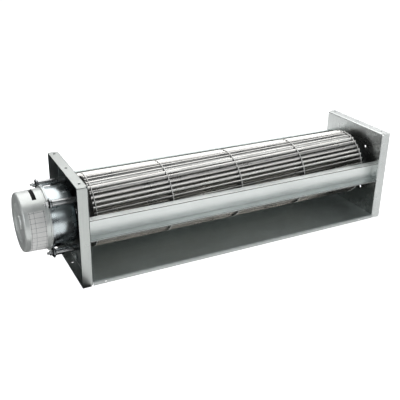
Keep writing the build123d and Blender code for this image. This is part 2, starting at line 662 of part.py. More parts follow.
# steel mounting plate with four ears, sandwiched between cap and pot
EAR_R = 8.0
STACK_R = 44.6
with BuildPart() as motor_mounting_plate:
    with BuildSketch(Plane.YZ.offset(FL_B)):
        with Locations((Y_A, Z_A)):
            Circle(FL_R)
        for i in (-1, 1):
            for j in (-1, 1):
                with Locations((Y_A + i * PAT, Z_A + j * PAT)):
                    Circle(EAR_R)
                with Locations(Location((Y_A + i * (PAT - 6.0), Z_A + j * (PAT - 6.0), 0), (0, 0, 45.0 * i * j))):
                    Rectangle(17.0, 2 * EAR_R + 2.0)
        with Locations((Y_A, Z_A)):
            Circle(STACK_R, mode=Mode.SUBTRACT)
        with Locations(*[(Y_A + i * PAT, Z_A + j * PAT) for i in (-1, 1) for j in (-1, 1)]):
            Circle(4.0, mode=Mode.SUBTRACT)
        with Locations((Y_A, Z_A)):
            with PolarLocations(FL_RIVET_R, 8):
                Circle(0.7, mode=Mode.SUBTRACT)
    extrude(amount=FL_C - FL_B)
motor_mounting_plate.part.label = "motor_mounting_plate"
export_step(motor_mounting_plate.part, "parts/motor_mounting_plate.step")

# deep drawn steel pot, closed end towards the fan
with BuildPart() as motor_pot:
    with BuildSketch(TURN_PLANE):
        ring_profile([
            (FL_C, POT_R - WALL), (FL_C, FL_R), (FL_D, FL_R), (FL_D, POT_R + 0.4), (POT_X1, POT_R - 0.5),
            (POT_X1, 16.0), (POT_X1 + BOSS, 13.6), (POT_X1 + BOSS, 5.0), (POT_X1 + BOSS - WALL, 5.0),
            (POT_X1 + BOSS - WALL, BUSH_R), (POT_X1 - 6.0, BUSH_R), (POT_X1 - 6.0, 9.6),
            (POT_X1 + BOSS - 2.2, 12.6), (POT_X1 - WALL, 15.4), (POT_X1 - WALL, POT_R - 0.5 - WALL)])
    revolve(axis=axis_x)
    fillet_near(motor_pot, POT_X1, POT_R - 0.5, 8.0)
    fillet_near(motor_pot, POT_X1 - WALL, POT_R - 0.5 - WALL, 6.7)
    fillet_near(motor_pot, POT_X1 + BOSS, 13.6, 1.0)
    fillet_near(motor_pot, POT_X1, 16.0, 1.5)
    fillet_near(motor_pot, FL_D, POT_R + 0.4, 0.35)
    with BuildSketch(Plane.YZ.offset(FL_C - 1)):
        with Locations((Y_A, Z_A)):
            with PolarLocations(FL_RIVET_R, 8):
                Circle(0.7)
    extrude(amount=4.0, mode=Mode.SUBTRACT)
motor_pot.part.label = "motor_pot"
export_step(motor_pot.part, "parts/motor_pot.step")

# the cap's flange takes the same rivets
with BuildPart() as motor_end_cap_drilled:
    add(motor_end_cap.part)
    with BuildSketch(Plane.YZ.offset(FL_A - 1)):
        with Locations((Y_A, Z_A)):
            with PolarLocations(FL_RIVET_R, 8):
                Circle(0.7)
    extrude(amount=4.0, mode=Mode.SUBTRACT)
motor_end_cap_drilled.part.label = "motor_end_cap"
export_step(motor_end_cap_drilled.part, "parts/motor_end_cap.step")

with BuildPart() as flange_rivets:
    with BuildSketch(Plane.YZ.offset(FL_A)):
        with Locations((Y_A, Z_A)):
            with PolarLocations(FL_RIVET_R, 8):
                Circle(0.7)
    extrude(amount=FL_D - FL_A)
    with BuildSketch(Plane.YZ.offset(FL_A)):
        with Locations((Y_A, Z_A)):
            with PolarLocations(FL_RIVET_R, 8):
                Circle(1.1)
    extrude(amount=-0.5, taper=20)
    with BuildSketch(Plane.YZ.offset(FL_D)):
        with Locations((Y_A, Z_A)):
            with PolarLocations(FL_RIVET_R, 8):
                Circle(1.1)
    extrude(amount=0.5, taper=20)
flange_rivets.part.label = "flange_rivets"
export_step(flange_rivets.part, "parts/flange_rivets.step")

# sintered bushes in the cap's and the pot's seats
with BuildPart() as motor_bush_rear:
    with BuildSketch(TURN_PLANE):
        ring_profile([(CAP_X0 + 2.2, SHAFT_R + RUN), (CAP_X0 + 2.2, BUSH_R), (CAP_X0 + 12.0, BUSH_R),
                      (CAP_X0 + 12.6, BUSH_R - 0.6), (CAP_X0 + 12.6, SHAFT_R + RUN)])
    revolve(axis=axis_x)
motor_bush_rear.part.label = "motor_bush_rear"
export_step(motor_bush_rear.part, "parts/motor_bush_rear.step")

with BuildPart() as motor_bush_front:
    with BuildSketch(TURN_PLANE):
        ring_profile([(POT_X1 - 6.6, SHAFT_R + RUN), (POT_X1 - 6.6, BUSH_R - 0.6), (POT_X1 - 6.0, BUSH_R),
                      (POT_X1 + BOSS - WALL, BUSH_R), (POT_X1 + BOSS - WALL, SHAFT_R + RUN)])
    revolve(axis=axis_x)
motor_bush_front.part.label = "motor_bush_front"
export_step(motor_bush_front.part, "parts/motor_bush_front.step")

# laminated stack with twelve slots
ST_X0, ST_X1 = X_WL - 59.0, X_WL - 35.0
with BuildPart() as stator_stack:
    with BuildSketch(Plane.YZ.offset(ST_X0)):
        with Locations((Y_A, Z_A)):
            Circle(STACK_R)
            Circle(24.0, mode=Mode.SUBTRACT)
            with PolarLocations(31.5, 12):
                Rectangle(10.0, 5.2, mode=Mode.SUBTRACT)
            with PolarLocations(25.5, 12):
                Rectangle(5.0, 2.0, mode=Mode.SUBTRACT)
    extrude(amount=ST_X1 - ST_X0)
stator_stack.part.label = "stator_stack"
export_step(stator_stack.part, "parts/stator_stack.step")

# windings: slot bars joined by the two end turns
with BuildPart() as stator_windings:
    with BuildSketch(Plane.YZ.offset(ST_X0 - 0.6)):
        with Locations((Y_A, Z_A)):
            with PolarLocations(31.7, 12):
                Rectangle(9.2, 4.6)
    extrude(amount=ST_X1 - ST_X0 + 1.2)
    with BuildSketch(TURN_PLANE):
        with Locations((ST_X0 - 4.6, 33.5)):
            RectangleRounded(8.4, 15.0, 2.6)
        with Locations((ST_X1 + 4.6, 33.5)):
            RectangleRounded(8.4, 15.0, 2.6)
    revolve(axis=axis_x)
stator_windings.part.label = "stator_windings"
export_step(stator_windings.part, "parts/stator_windings.step")

with BuildPart() as motor_rotor:
    with BuildSketch(TURN_PLANE):
        ring_profile([(ST_X0 - 4.0, 21.5), (ST_X0 - 4.0, 16.0), (ST_X0 - 0.5, 15.0), (ST_X0 - 0.5, SHAFT_R),
                      (ST_X1 + 0.5, SHAFT_R), (ST_X1 + 0.5, 15.0), (ST_X1 + 4.0, 16.0), (ST_X1 + 4.0, 21.5),
                      (ST_X1 + 0.5, 23.6), (ST_X0 - 0.5, 23.6)])
    revolve(axis=axis_x)
motor_rotor.part.label = "motor_rotor"
export_step(motor_rotor.part, "parts/motor_rotor.step")

with BuildPart() as motor_shaft:
    with BuildSketch(TURN_PLANE):
        ring_profile([(CAP_X0 + 2.8, 0), (CAP_X0 + 2.8, SHAFT_R - 0.5), (CAP_X0 + 3.3, SHAFT_R),
                      (XD0 + 1.4, SHAFT_R), (XD0 + 1.9, SHAFT_R - 0.5), (XD0 + 1.9, 0)])
    revolve(axis=axis_x)
motor_shaft.part.label = "motor_shaft"
export_step(motor_shaft.part, "parts/motor_shaft.step")

# ---------------------------------------------------------------------------
# Motor mounting: stand-offs, rubber grommets, long screws, washers, nuts
# ---------------------------------------------------------------------------
CORNERS = [(Y_A + i * PAT, Z_A + j * PAT) for i in (-1, 1) for j in (-1, 1)]
GR_X0 = FL_B - 1.5
GR_X1 = FL_C + 1.5
with BuildPart() as stand_offs:
    with BuildSketch(Plane.YZ.offset(GR_X1)):
        with Locations(*CORNERS):
            Circle(5.0)
            Circle(2.15, mode=Mode.SUBTRACT)
    extrude(amount=(X_WL - SHEET) - GR_X1)
    ends = stand_offs.edges().filter_by(GeomType.CIRCLE).filter_by(lambda e: abs(e.radius - 5.0) < 0.01)
    chamfer(ends, 0.4)
stand_offs.part.label = "stand_offs"
export_step(stand_offs.part, "parts/stand_offs.step")

with BuildPart() as mount_grommets:
    with BuildSketch(Plane.YZ.offset(GR_X0)):
        with Locations(*CORNERS):
            Circle(6.3)
            Circle(2.15, mode=Mode.SUBTRACT)
    extrude(amount=1.5)
    with BuildSketch(Plane.YZ.offset(FL_B)):
        with Locations(*CORNERS):
            Circle(4.0)
            Circle(2.15, mode=Mode.SUBTRACT)
    extrude(amount=FL_C - FL_B)
    with BuildSketch(Plane.YZ.offset(FL_C)):
        with Locations(*CORNERS):
            Circle(6.3)
            Circle(2.15, mode=Mode.SUBTRACT)
    extrude(amount=1.5)
    rims = mount_grommets.edges().filter_by(GeomType.CIRCLE).filter_by(
        lambda e: abs(e.radius - 6.3) < 0.01 and (abs(e.arc_center.X - GR_X0) < 0.01 or abs(e.arc_center.X - GR_X1) < 0.01))
    fillet(rims, 0.6)
mount_grommets.part.label = "mount_grommets"
export_step(mount_grommets.part, "parts/mount_grommets.step")

WASHER_T = 0.8
NUT_T = 3.2
with BuildPart() as mount_washers:
    with BuildSketch(Plane.YZ.offset(GR_X0 - WASHER_T)):
        with Locations(*CORNERS):
            Circle(4.5)
            Circle(2.15, mode=Mode.SUBTRACT)
    extrude(amount=WASHER_T)
mount_washers.part.label = "mount_washers"
export_step(mount_washers.part, "parts/mount_washers.step")

with BuildPart() as mount_nuts:
    with BuildSketch(Plane.YZ.offset(GR_X0 - WASHER_T - NUT_T)):
        for n, c in enumerate(CORNERS):
            with Locations(Location((c[0], c[1], 0), (0, 0, 11.0 + 23.0 * n))):
                RegularPolygon(3.5, 6, major_radius=False)
        with Locations(*CORNERS):
            Circle(2.0, mode=Mode.SUBTRACT)
    extrude(amount=NUT_T)
    with BuildPart(mode=Mode.PRIVATE) as nut_cone:
        with BuildSketch(Plane.YZ.offset(GR_X0 - WASHER_T - NUT_T)):
            with Locations(*CORNERS):
                Circle(3.45)
        extrude(amount=NUT_T, taper=-28)
    add(nut_cone.part, mode=Mode.INTERSECT)
mount_nuts.part.label = "mount_nuts"
export_step(mount_nuts.part, "parts/mount_nuts.step")

SCREW_END = GR_X0 - WASHER_T - NUT_T - 3.6
with BuildPart() as mount_screws:
    with BuildSketch(Plane.YZ.offset(SCREW_END)):
        with Locations(*CORNERS):
            Circle(2.0)
    extrude(amount=X_WL + 0.5 - SCREW_END)
    tips = mount_screws.edges().filter_by(GeomType.CIRCLE).filter_by(lambda e: abs(e.arc_center.X - SCREW_END) < 0.01)
    chamfer(tips, 0.4)
    with BuildSketch(Plane.YZ.offset(X_WL)):
        with Locations(*CORNERS):
            Circle(4.0)
    extrude(amount=2.6)
    heads = mount_screws.edges().filter_by(GeomType.CIRCLE).filter_by(lambda e: abs(e.arc_center.X - X_WL - 2.6) < 0.01)
    fillet(heads, 1.4)
    with BuildSketch(Plane.YZ.offset(X_WL + 2.6)):
        with Locations(*CORNERS):
            Rectangle(3.6, 0.9)
            Rectangle(0.9, 3.6)
    extrude(amount=-1.5, mode=Mode.SUBTRACT)
mount_screws.part.label = "mount_screws"
export_step(mount_screws.part, "parts/mount_screws.step")
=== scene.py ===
import json
import math

import bmesh
import bpy
from mathutils import Matrix, Vector


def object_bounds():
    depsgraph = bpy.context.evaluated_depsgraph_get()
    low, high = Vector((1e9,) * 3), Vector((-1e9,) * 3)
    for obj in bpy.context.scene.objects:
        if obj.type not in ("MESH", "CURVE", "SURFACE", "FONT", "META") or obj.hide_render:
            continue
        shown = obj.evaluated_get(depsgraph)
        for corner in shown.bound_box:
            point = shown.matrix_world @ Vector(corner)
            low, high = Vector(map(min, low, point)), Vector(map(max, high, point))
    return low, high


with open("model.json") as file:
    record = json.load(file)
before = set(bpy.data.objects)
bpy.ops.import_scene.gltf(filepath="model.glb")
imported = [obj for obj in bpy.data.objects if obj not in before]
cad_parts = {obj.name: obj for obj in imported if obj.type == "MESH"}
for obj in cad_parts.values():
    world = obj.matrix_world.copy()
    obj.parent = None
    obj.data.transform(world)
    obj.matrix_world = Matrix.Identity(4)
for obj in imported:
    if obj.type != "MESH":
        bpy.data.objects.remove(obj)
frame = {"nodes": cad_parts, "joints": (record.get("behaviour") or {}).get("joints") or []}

CAD_LO, CAD_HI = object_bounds()
NODES = frame["nodes"]

# ------------------------------------------------------------------ camera
AZ, EL, ROLL = math.radians(27.17), math.radians(23.16), math.radians(0.92)
EYE = Vector((-0.4801, -0.8880, 0.5342))
FOCAL = 637.7 / 400.0 * 36.0

fw = Vector((math.sin(AZ) * math.cos(EL), math.cos(AZ) * math.cos(EL), -math.sin(EL)))
rx = fw.cross(Vector((0, 0, 1))).normalized()
ry = rx.cross(fw)
cx = rx * math.cos(ROLL) + ry * math.sin(ROLL)
cy = -rx * math.sin(ROLL) + ry * math.cos(ROLL)
cam_data = bpy.data.cameras.new("view_camera")
cam = bpy.data.objects.new("view_camera", cam_data)
bpy.context.scene.collection.objects.link(cam)
cam.matrix_world = Matrix(
    (
        (cx.x, cy.x, -fw.x, EYE.x),
        (cx.y, cy.y, -fw.y, EYE.y),
        (cx.z, cy.z, -fw.z, EYE.z),
        (0, 0, 0, 1),
    )
)
cam_data.sensor_width = 36.0
cam_data.lens = FOCAL
cam_data.shift_x = 0.01
cam_data.shift_y = -0.05
cam_data.clip_start = 0.02
cam_data.clip_end = 40.0
bpy.context.scene.camera = cam


# ------------------------------------------------------------------ node helpers
def add(nt, kind, x=0, y=0, **inputs):
    """A node of that kind; inputs are set by name, with spaces written as underscores, or by number as i0, i1."""
    n = nt.nodes.new(kind)
    n.location = (x, y)
    for k, v in inputs.items():
        key = int(k[1:]) if k[0] == "i" and k[1:].isdigit() else k.replace("_", " ")
        n.inputs[key].default_value = v
    return n


def wire(nt, a, b):
    nt.links.new(a, b)


def blank(name):
    m = bpy.data.materials.new(name)
    m.use_nodes = True
    nt = m.node_tree
    nt.nodes.clear()
    out = add(nt, "ShaderNodeOutputMaterial", 900, 0)
    bsdf = add(nt, "ShaderNodeBsdfPrincipled", 600, 0)
    wire(nt, bsdf.outputs[0], out.inputs[0])
    return m, nt, bsdf


def coords(nt):
    return add(nt, "ShaderNodeTexCoord", -1500, 0).outputs["Object"]


def mapped(nt, src, scale, x=-1300, y=0, rot=(0, 0, 0)):
    m = add(nt, "ShaderNodeMapping", x, y)
    m.inputs["Scale"].default_value = scale
    m.inputs["Rotation"].default_value = rot
    wire(nt, src, m.inputs["Vector"])
    return m.outputs[0]


def noise(nt, src, scale, detail=4.0, rough=0.55, x=-1000, y=0, distort=0.0):
    n = add(nt, "ShaderNodeTexNoise", x, y, Scale=scale, Detail=detail, Roughness=rough, Distortion=distort)
    wire(nt, src, n.inputs["Vector"])
    return n.outputs["Fac"]


def span(nt, src, lo, hi, to_lo, to_hi, x=-700, y=0, smooth=True):
    """src from lo..hi becomes to_lo..to_hi, clamped."""
    r = add(nt, "ShaderNodeMapRange", x, y)
    r.interpolation_type = "SMOOTHSTEP" if smooth else "LINEAR"
    r.inputs["From Min"].default_value = lo
    r.inputs["From Max"].default_value = hi
    r.inputs["To Min"].default_value = to_lo
    r.inputs["To Max"].default_value = to_hi
    wire(nt, src, r.inputs["Value"])
    return r.outputs[0]


def calc(nt, op, a, b=None, x=-500, y=0):
    n = add(nt, "ShaderNodeMath", x, y)
    n.operation = op
    for i, v in enumerate((a, b)):
        if v is None:
            continue
        if isinstance(v, (int, float)):
            n.inputs[i].default_value = v
        else:
            wire(nt, v, n.inputs[i])
    return n.outputs[0]


def blend_colour(nt, fac, a, b, x=-200, y=0, mode="MIX"):
    n = nt.nodes.new("ShaderNodeMix")
    n.data_type = "RGBA"
    n.blend_type = mode
    n.location = (x, y)
    for i, v in ((0, fac), (6, a), (7, b)):
        if isinstance(v, (int, float)):
            n.inputs[i].default_value = v
        elif isinstance(v, (tuple, list)):
            n.inputs[i].default_value = (*v, 1.0) if len(v) == 3 else v
        else:
            wire(nt, v, n.inputs[i])
    return n.outputs[2]


def relief(nt, bsdf, height, distance, strength=1.0, x=350, y=-300):
    b = add(nt, "ShaderNodeBump", x, y, Strength=strength, Distance=distance)
    wire(nt, height, b.inputs["Height"])
    wire(nt, b.outputs[0], bsdf.inputs["Normal"])
    return b


# ------------------------------------------------------------------ materials
AXIS_Y = frame["joints"][0]["pos_m"][1] if "pos_m" in frame["joints"][0] else 0.00255
AXIS_Z = frame["joints"][0]["pos_m"][2] if "pos_m" in frame["joints"][0] else 0.0899
AX = (AXIS_Y, AXIS_Z)

def galvanised(name, base, dark, rough, grain="X", spangle=95.0, spread=0.10, wave=0.00012, web=None, shade_line_ys=(), back=None, metallic=1.0):
    """Hot-dip galvanised sheet: faint spangle, rolling grain along one axis, soft waviness and darker handling marks;
    web is the x of a face painted near black as shade, raw the y of thin lines painted dark as the shadow along a lip's
    front edges, back (the rolled corner's centre and radius, and the lip's y) for painted shade that makes the outside
    and the front lip darker than the inside.
    """
    m, nt, bsdf = blank(name)
    src = coords(nt)
    along = {"X": (1.2, 60, 60), "Z": (60, 60, 1.2), "Y": (60, 1.2, 60)}[grain]
    rolled = noise(nt, mapped(nt, src, along, y=300), 9.0, 5.0, 0.6, y=300)
    fine = noise(nt, mapped(nt, src, tuple(v * 9 for v in along), y=100), 6.0, 3.0, 0.6, y=100)
    vor = add(nt, "ShaderNodeTexVoronoi", -1000, -100, Scale=spangle, Randomness=1.0)
    wob = noise(nt, src, 60.0, 3.0, 0.5, x=-1300, y=-300)
    warped = add(nt, "ShaderNodeVectorMath", -1150, -150)
    warped.operation = "ADD"
    wire(nt, src, warped.inputs[0])
    wsc = add(nt, "ShaderNodeVectorMath", -1200, -350)
    wsc.operation = "SCALE"
    wsc.inputs[3].default_value = 0.006
    wcol = add(nt, "ShaderNodeCombineXYZ", -1250, -300)
    for i in range(3):
        wire(nt, wob, wcol.inputs[i])
    wire(nt, wcol.outputs[0], wsc.inputs[0])
    wire(nt, wsc.outputs[0], warped.inputs[1])
    wire(nt, warped.outputs[0], vor.inputs["Vector"])
    grey = add(nt, "ShaderNodeSeparateColor", -800, -100)
    wire(nt, vor.outputs["Color"], grey.inputs[0])
    cell = grey.outputs[0]
    cloud = noise(nt, src, 14.0, 5.0, 0.6, y=-400)
    patch = noise(nt, src, 4.5, 3.0, 0.5, y=-600, distort=0.6)

    tone = calc(nt, "MULTIPLY", span(nt, rolled, 0.30, 0.70, 0.0, 1.0, y=300, smooth=False), 0.40)
    tone = calc(nt, "ADD", tone, calc(nt, "MULTIPLY", cell, 0.28, y=-100))
    tone = calc(nt, "ADD", tone, calc(nt, "MULTIPLY", span(nt, cloud, 0.35, 0.68, 0.0, 1.0, y=-400), 0.32, y=-400))
    colour = blend_colour(nt, tone, dark, base)
    smear = span(nt, patch, 0.50, 0.72, 0.0, 0.22, y=-600)
    colour = blend_colour(nt, smear, colour, tuple(0.86 * v for v in dark), x=0)
    place = add(nt, "ShaderNodeSeparateXYZ", -1300, -1200)
    wire(nt, src, place.inputs[0])
    # Painted shade: the face at x = web is painted near black, standing in for the shade in the recess behind the
    # motor.
    if web is not None:
        face = span(nt, calc(nt, "ABSOLUTE", calc(nt, "SUBTRACT", place.outputs[0], web, x=-1100, y=-1200), x=-1000, y=-1200), 0.0002, 0.0005, 0.95, 0.0, x=-800, y=-1200)
        face = calc(nt, "MULTIPLY", face, span(nt, cloud, 0.25, 0.75, 0.90, 1.0, x=-800, y=-1300), x=-650, y=-1200)
        colour = blend_colour(nt, face, colour, (0.055, 0.075, 0.080), x=100)
    # Painted shade: a thin dark line at each given y, standing in for the shadow line along the lip's front edges.
    for at in shade_line_ys:
        edge = span(nt, calc(nt, "ABSOLUTE", calc(nt, "SUBTRACT", place.outputs[1], at, x=-1100, y=-1400), x=-1000, y=-1400), 0.0002, 0.0005, 0.85, 0.0, x=-800, y=-1400)
        colour = blend_colour(nt, calc(nt, "MULTIPLY", edge, span(nt, fine, 0.3, 0.7, 0.85, 1.0, x=-800, y=-1500), x=-650, y=-1400), colour, (0.10, 0.10, 0.10), x=150)
    # Painted shade: outside the rolled corner the sheet is painted dark grey and the front lip middle grey, shaded
    # copies of the bright inside.
    if back is not None:
        cy, cz, radius, lip = back
        py = calc(nt, "MAXIMUM", calc(nt, "SUBTRACT", place.outputs[1], cy, x=-1100, y=-1600), 0.0, x=-1000, y=-1600)
        pz = calc(nt, "MAXIMUM", calc(nt, "SUBTRACT", cz, place.outputs[2], x=-1100, y=-1700), 0.0, x=-1000, y=-1700)
        reach = calc(nt, "SQRT", calc(nt, "ADD", calc(nt, "MULTIPLY", py, py, x=-900, y=-1600), calc(nt, "MULTIPLY", pz, pz, x=-900, y=-1700), x=-800, y=-1650), x=-700, y=-1650)
        outer = span(nt, reach, radius + 0.0004, radius + 0.0008, 0.0, 1.0, x=-600, y=-1650)
        outer = calc(nt, "MULTIPLY", outer, span(nt, place.outputs[1], lip + 0.0018, lip + 0.0024, 0.0, 1.0, x=-600, y=-1800), x=-400, y=-1700)
        outside_shade = blend_colour(nt, tone, (0.27, 0.29, 0.29), (0.46, 0.48, 0.48), x=0, y=-1600)
        colour = blend_colour(nt, outer, colour, outside_shade, x=200)
        face = span(nt, calc(nt, "SUBTRACT", place.outputs[1], lip, x=-1100, y=-1900), 0.0004, 0.0010, 1.0, 0.0, x=-800, y=-1900)
        colour = blend_colour(nt, face, colour, blend_colour(nt, tone, (0.58, 0.60, 0.59), (0.72, 0.745, 0.735), x=0, y=-1900), x=300)
    wire(nt, colour, bsdf.inputs["Base Color"])
    bsdf.inputs["Metallic"].default_value = metallic
    r = calc(nt, "MULTIPLY", cell, spread, x=0, y=-200)
    r = calc(nt, "ADD", r, span(nt, cloud, 0.30, 0.70, rough - 0.05, rough + 0.07, x=-200, y=-450), x=150, y=-200)
    r = calc(nt, "ADD", r, calc(nt, "MULTIPLY", fine, 0.10, x=0, y=-600), x=300, y=-200)
    wire(nt, r, bsdf.inputs["Roughness"])
    h = calc(nt, "MULTIPLY", fine, 0.10, x=0, y=-800)
    h = calc(nt, "ADD", h, calc(nt, "MULTIPLY", cell, 0.12, x=0, y=-900), x=150, y=-800)
    h = calc(nt, "ADD", h, calc(nt, "MULTIPLY", patch, 2.2, x=0, y=-1000), x=250, y=-800)
    relief(nt, bsdf, h, wave, 1.0)
    return m


def drawn_metal(name, base, dark, rough, centre=None, metallic=1.0, speck=700.0, ring=0.0, bump=0.00006, stain=0.25, rim=None):
    """Spun, cast or plated metal: fine grain, optional turning marks round an axis along X, darker stains, small dark
    specks, and shade painted near black inside the radius rim.
    """
    m, nt, bsdf = blank(name)
    src = coords(nt)
    grit = noise(nt, src, speck, 3.0, 0.6, y=200)
    cloud = noise(nt, src, 38.0, 5.0, 0.62, y=0)
    broad = noise(nt, src, 9.0, 3.0, 0.5, y=-200, distort=0.4)
    tone = calc(nt, "ADD", calc(nt, "MULTIPLY", span(nt, cloud, 0.33, 0.68, 0.0, 1.0), 0.55), calc(nt, "MULTIPLY", span(nt, grit, 0.3, 0.7, 0.0, 1.0, y=200), 0.45, y=200))
    height = calc(nt, "MULTIPLY", grit, 0.8, x=0, y=-700)
    if centre is not None:
        sep = add(nt, "ShaderNodeSeparateXYZ", -1300, -500)
        wire(nt, src, sep.inputs[0])
        dy = calc(nt, "SUBTRACT", sep.outputs[1], centre[0], x=-1150, y=-450)
        dz = calc(nt, "SUBTRACT", sep.outputs[2], centre[1], x=-1150, y=-550)
        rr = calc(nt, "SQRT", calc(nt, "ADD", calc(nt, "MULTIPLY", dy, dy, x=-1050, y=-450), calc(nt, "MULTIPLY", dz, dz, x=-1050, y=-550), x=-950, y=-500), x=-850, y=-500)
        vec = add(nt, "ShaderNodeCombineXYZ", -750, -500)
        wire(nt, rr, vec.inputs[0])
        wire(nt, sep.outputs[0], vec.inputs[1])
        turn = noise(nt, vec.outputs[0], 900.0, 2.0, 0.7, x=-600, y=-500)
        tone = calc(nt, "ADD", calc(nt, "MULTIPLY", tone, 1.0 - ring, x=-300), calc(nt, "MULTIPLY", span(nt, turn, 0.3, 0.7, 0.0, 1.0, x=-450, y=-500), ring, x=-300, y=-500), x=-250)
        height = calc(nt, "ADD", height, calc(nt, "MULTIPLY", turn, 1.4 * ring, x=0, y=-800), x=150, y=-700)
    colour = blend_colour(nt, tone, dark, base)
    colour = blend_colour(nt, span(nt, broad, 0.48, 0.70, 0.0, stain, y=-200), colour, tuple(0.72 * v for v in dark), x=0)
    # Painted shade: inside the rim radius the faces are painted near black, standing in for the deep shade by the end
    # plates; only the outer rim stays bright.
    if rim is not None:
        inside = span(nt, rr, rim - 0.0004, rim + 0.0002, 0.90, 0.0, x=-650, y=-900)
        inside = calc(nt, "MULTIPLY", inside, span(nt, cloud, 0.2, 0.8, 0.92, 1.0, x=-500, y=-900), x=-350, y=-900)
        colour = blend_colour(nt, inside, colour, (0.060, 0.058, 0.054), x=150)
    wire(nt, colour, bsdf.inputs["Base Color"])
    bsdf.inputs["Metallic"].default_value = metallic
    r = span(nt, cloud, 0.3, 0.7, rough - 0.06, rough + 0.09, x=0, y=-250)
    r = calc(nt, "ADD", r, calc(nt, "MULTIPLY", grit, 0.06, x=0, y=-400), x=200, y=-250)
    wire(nt, r, bsdf.inputs["Roughness"])
    relief(nt, bsdf, height, bump, 1.0)
    return m


def from_axis(nt, src, x=-1300, y=-700):
    """Distance from the impeller's axis."""
    sep = add(nt, "ShaderNodeSeparateXYZ", x, y)
    wire(nt, src, sep.inputs[0])
    dy = calc(nt, "SUBTRACT", sep.outputs[1], AX[0], x=x + 150, y=y + 50)
    dz = calc(nt, "SUBTRACT", sep.outputs[2], AX[1], x=x + 150, y=y - 50)
    sq = calc(nt, "ADD", calc(nt, "MULTIPLY", dy, dy, x=x + 250, y=y + 50), calc(nt, "MULTIPLY", dz, dz, x=x + 250, y=y - 50), x=x + 350, y=y)
    return calc(nt, "SQRT", sq, x=x + 450, y=y)


def blade_metal(name, base, dark, rough):
    """Rolled aluminium strip: lightly streaked along the blade, with shade painted in towards the inner edge, so that
    it stays bright only at its outer edge.
    """
    m, nt, bsdf = blank(name)
    src = coords(nt)
    streak = noise(nt, mapped(nt, src, (2.0, 260, 260), y=300), 3.0, 4.0, 0.6, y=300)
    cloud = noise(nt, src, 30.0, 4.0, 0.6, y=0)
    grit = noise(nt, src, 900.0, 2.0, 0.6, y=-200)
    tone = calc(nt, "ADD", calc(nt, "MULTIPLY", span(nt, streak, 0.3, 0.7, 0.0, 1.0, y=300), 0.6, y=300), calc(nt, "MULTIPLY", span(nt, cloud, 0.35, 0.65, 0.0, 1.0), 0.4))
    colour = blend_colour(nt, tone, dark, base)
    # Painted shade: the blade colour darkens towards the axis, standing in for the shade between the blades.
    inner_shade = span(nt, from_axis(nt, src), 0.0480, 0.0572, 1.0, 0.0, x=-700, y=-700)
    inner_shade = calc(nt, "MULTIPLY", inner_shade, span(nt, cloud, 0.2, 0.8, 0.80, 1.0, x=-500, y=-500), x=-350, y=-600)
    colour = blend_colour(nt, inner_shade, colour, (0.50, 0.48, 0.45), x=0)
    wire(nt, colour, bsdf.inputs["Base Color"])
    bsdf.inputs["Metallic"].default_value = 1.0
    r = calc(nt, "ADD", span(nt, cloud, 0.3, 0.7, rough - 0.05, rough + 0.08, x=0, y=-250), calc(nt, "MULTIPLY", grit, 0.06, x=0, y=-400), x=200, y=-250)
    wire(nt, r, bsdf.inputs["Roughness"])
    relief(nt, bsdf, calc(nt, "ADD", calc(nt, "MULTIPLY", streak, 1.0, x=0, y=-600), calc(nt, "MULTIPLY", grit, 0.3, x=0, y=-700), x=150, y=-600), 0.00002, 1.0)
    return m


def moulded(name, base, dark, rough, grain=1400.0, bump=0.00004, spec=0.5):
    """Moulded rubber or plastic: fine matt grain, greyish dusty patches and slightly shinier rubbed places."""
    m, nt, bsdf = blank(name)
    src = coords(nt)
    g = noise(nt, src, grain, 2.0, 0.6, y=200)
    c = noise(nt, src, 80.0, 4.0, 0.6, y=0)
    wire(nt, blend_colour(nt, span(nt, c, 0.35, 0.7, 0.0, 1.0), dark, base), bsdf.inputs["Base Color"])
    wire(nt, span(nt, c, 0.3, 0.7, rough - 0.08, rough + 0.1, x=0, y=-250), bsdf.inputs["Roughness"])
    bsdf.inputs["Specular IOR Level"].default_value = spec
    relief(nt, bsdf, g, bump, 1.0)
    return m


def enamelled_wire(name):
    m, nt, bsdf = blank(name)
    src = coords(nt)
    w = add(nt, "ShaderNodeTexWave", -1000, 200, Scale=480.0, Distortion=1.5, Detail=2.0)
    w.wave_type = "BANDS"
    w.bands_direction = "X"
    wire(nt, src, w.inputs["Vector"])
    c = noise(nt, src, 90.0, 3.0, 0.6, y=-100)
    tone = calc(nt, "ADD", calc(nt, "MULTIPLY", w.outputs["Fac"], 0.6), calc(nt, "MULTIPLY", c, 0.4))
    wire(nt, blend_colour(nt, tone, (0.20, 0.07, 0.03), (0.72, 0.33, 0.16)), bsdf.inputs["Base Color"])
    bsdf.inputs["Metallic"].default_value = 1.0
    wire(nt, span(nt, c, 0.3, 0.7, 0.28, 0.42, x=0, y=-250), bsdf.inputs["Roughness"])
    relief(nt, bsdf, w.outputs["Fac"], 0.0001, 1.0)
    return m


def laminated(name):
    m, nt, bsdf = blank(name)
    src = coords(nt)
    w = add(nt, "ShaderNodeTexWave", -1000, 200, Scale=320.0, Distortion=0.2, Detail=1.0)
    w.wave_type = "BANDS"
    w.bands_direction = "X"
    wire(nt, src, w.inputs["Vector"])
    c = noise(nt, src, 60.0, 4.0, 0.6, y=-100)
    tone = calc(nt, "ADD", calc(nt, "MULTIPLY", w.outputs["Fac"], 0.5), calc(nt, "MULTIPLY", c, 0.5))
    wire(nt, blend_colour(nt, tone, (0.10, 0.10, 0.11), (0.36, 0.37, 0.39)), bsdf.inputs["Base Color"])
    bsdf.inputs["Metallic"].default_value = 1.0
    wire(nt, span(nt, c, 0.3, 0.7, 0.40, 0.58, x=0, y=-250), bsdf.inputs["Roughness"])
    relief(nt, bsdf, w.outputs["Fac"], 0.00015, 1.0)
    return m


